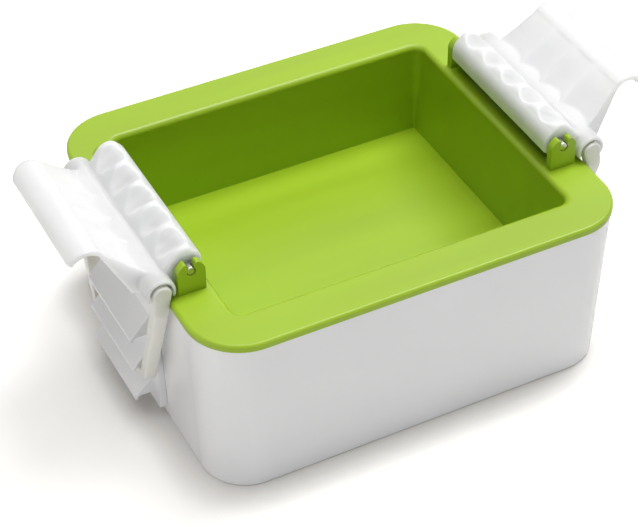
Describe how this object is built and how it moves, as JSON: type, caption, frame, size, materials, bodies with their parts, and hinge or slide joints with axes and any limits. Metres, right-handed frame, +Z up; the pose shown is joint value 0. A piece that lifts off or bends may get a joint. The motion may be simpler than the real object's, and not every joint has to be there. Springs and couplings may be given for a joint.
{
  "type": "tofu press",
  "caption": "Lever-clip tofu press: a green pressing lid with a deep well over a strainer and a white tub, held down by elastic bands hooked on catch ledges.",
  "frame": {"origin": "centre of the outer tub's footprint, on the surface it stands on", "axes": "+Z up, X along the tub from the left clip to the right clip, -Y the long front wall"},
  "size_m": [0.2122, 0.1338, 0.0872],
  "materials": {
    "white_plastic": "gloss moulded, opaque white",
    "strainer_plastic": "gloss moulded white",
    "green_plastic": "gloss moulded lime green",
    "handle_plastic": "satin moulded white",
    "pin_steel": "polished end",
    "band_silicone": "translucent natural silicone"
  },
  "bodies": {
    "tub": {"outer_tub": "white_plastic", "catch_rack_right": "white_plastic", "catch_rack_left": "white_plastic"},
    "strainer": {"strainer_tub": "strainer_plastic"},
    "lid": {"lid": "green_plastic", "hinge_pin_right": "pin_steel", "hinge_pin_left": "pin_steel"},
    "handle_right": {"handle_right": "handle_plastic"},
    "handle_left": {"handle_left": "handle_plastic"},
    "band_right": {"band_right": "band_silicone"},
    "band_left": {"band_left": "band_silicone"}
  },
  "joints": [
    {"name": "strainer_lift", "type": "slide", "parent": "tub", "child": "strainer", "axis": [0, 0, 1], "range_m": [0, 0.07], "deforming": ["band_right", "band_left"]},
    {"name": "press_stroke", "type": "slide", "parent": "strainer", "child": "lid", "axis": [0, 0, 1], "range_m": [0, 0.04], "deforming": ["band_right", "band_left"]},
    {"name": "handle_right_hinge", "type": "hinge", "parent": "lid", "child": "handle_right", "pos_m": [0.069, 0, 0.07375], "axis": [0, -1, 0], "range_deg": [0, 150], "deforming": ["band_right"]},
    {"name": "band_right_unhook", "type": "hinge", "parent": "handle_right", "child": "band_right", "pos_m": [0.0798, 0, 0.06935], "axis": [0, -1, 0], "range_deg": [0, 60], "deforming": ["band_right"]},
    {"name": "handle_left_hinge", "type": "hinge", "parent": "lid", "child": "handle_left", "pos_m": [-0.069, 0, 0.07375], "axis": [0, 1, 0], "range_deg": [0, 150], "deforming": ["band_left"]},
    {"name": "band_left_unhook", "type": "hinge", "parent": "handle_left", "child": "band_left", "pos_m": [-0.0798, 0, 0.06935], "axis": [0, 1, 0], "range_deg": [0, 60], "deforming": ["band_left"]}
  ]
}
